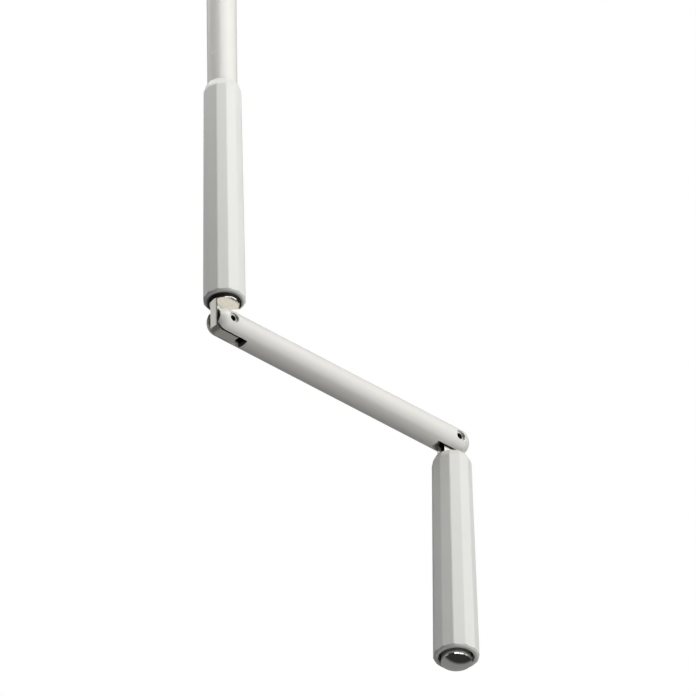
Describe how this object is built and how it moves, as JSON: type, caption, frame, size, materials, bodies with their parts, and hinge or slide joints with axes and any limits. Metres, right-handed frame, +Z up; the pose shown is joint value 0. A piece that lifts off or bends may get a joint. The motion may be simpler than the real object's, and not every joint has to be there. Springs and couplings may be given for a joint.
{
  "type": "folding hand crank",
  "caption": "Folding hand crank for a roof window or shutter: rod, jointed tubular arm and two turning twelve-sided grips.",
  "frame": {"origin": "centre of the socket mouth at the top end of the rod", "axes": "+Z up along the rod, out of the socket; +X along the crank arm at rest; Y along both fold hinges"},
  "size_m": [0.1835, 0.0242, 0.4452],
  "materials": {
    "painted_tube": "powder coat, satin",
    "painted_arm": "powder coat, satin",
    "plated_knuckle": "nickel plated, polished",
    "chrome_cap": "chromed, polished",
    "pin_steel": "zinc plated spring steel",
    "dark_spring_steel": "phosphated",
    "plain_steel": "drawn",
    "grip_plastic": "moulded, satin",
    "bush_plastic": "moulded",
    "washer_nylon": "moulded"
  },
  "bodies": {
    "rod": {"rod_tube": "painted_tube", "rod_knuckle": "plated_knuckle", "rod_cross_pin": "pin_steel", "upper_grip_outer_ring": "dark_spring_steel", "upper_grip_inner_ring": "dark_spring_steel"},
    "upper_sleeve": {"upper_grip": "grip_plastic", "upper_grip_top_bush": "bush_plastic", "upper_grip_bottom_bush": "bush_plastic"},
    "arm": {"crank_arm": "painted_arm", "upper_hinge_pin": "pin_steel", "lower_hinge_pin": "pin_steel", "upper_friction_washers": "washer_nylon", "lower_friction_washers": "washer_nylon"},
    "handle": {"handle_knuckle": "plated_knuckle", "handle_spindle": "plain_steel", "handle_cross_pin": "pin_steel", "handle_ring": "dark_spring_steel", "handle_thrust_washer": "plain_steel", "end_cap": "chrome_cap"},
    "lower_sleeve": {"lower_grip": "grip_plastic", "lower_grip_top_bush": "bush_plastic", "lower_grip_bottom_bush": "bush_plastic"}
  },
  "joints": [
    {"name": "upper_grip_spin", "type": "hinge", "parent": "rod", "child": "upper_sleeve", "pos_m": [0, 0, -0.3], "axis": [0, 0, 1], "continuous": true},
    {"name": "arm_fold", "type": "hinge", "parent": "rod", "child": "arm", "pos_m": [0, 0, -0.3], "axis": [0, 1, 0], "range_deg": [-10, 190]},
    {"name": "handle_fold", "type": "hinge", "parent": "arm", "child": "handle", "pos_m": [0.16, 0, -0.3], "axis": [0, 1, 0], "range_deg": [-190, 10]},
    {"name": "lower_grip_spin", "type": "hinge", "parent": "handle", "child": "lower_sleeve", "pos_m": [0.16, 0, -0.3], "axis": [0, 0, 1], "continuous": true}
  ]
}
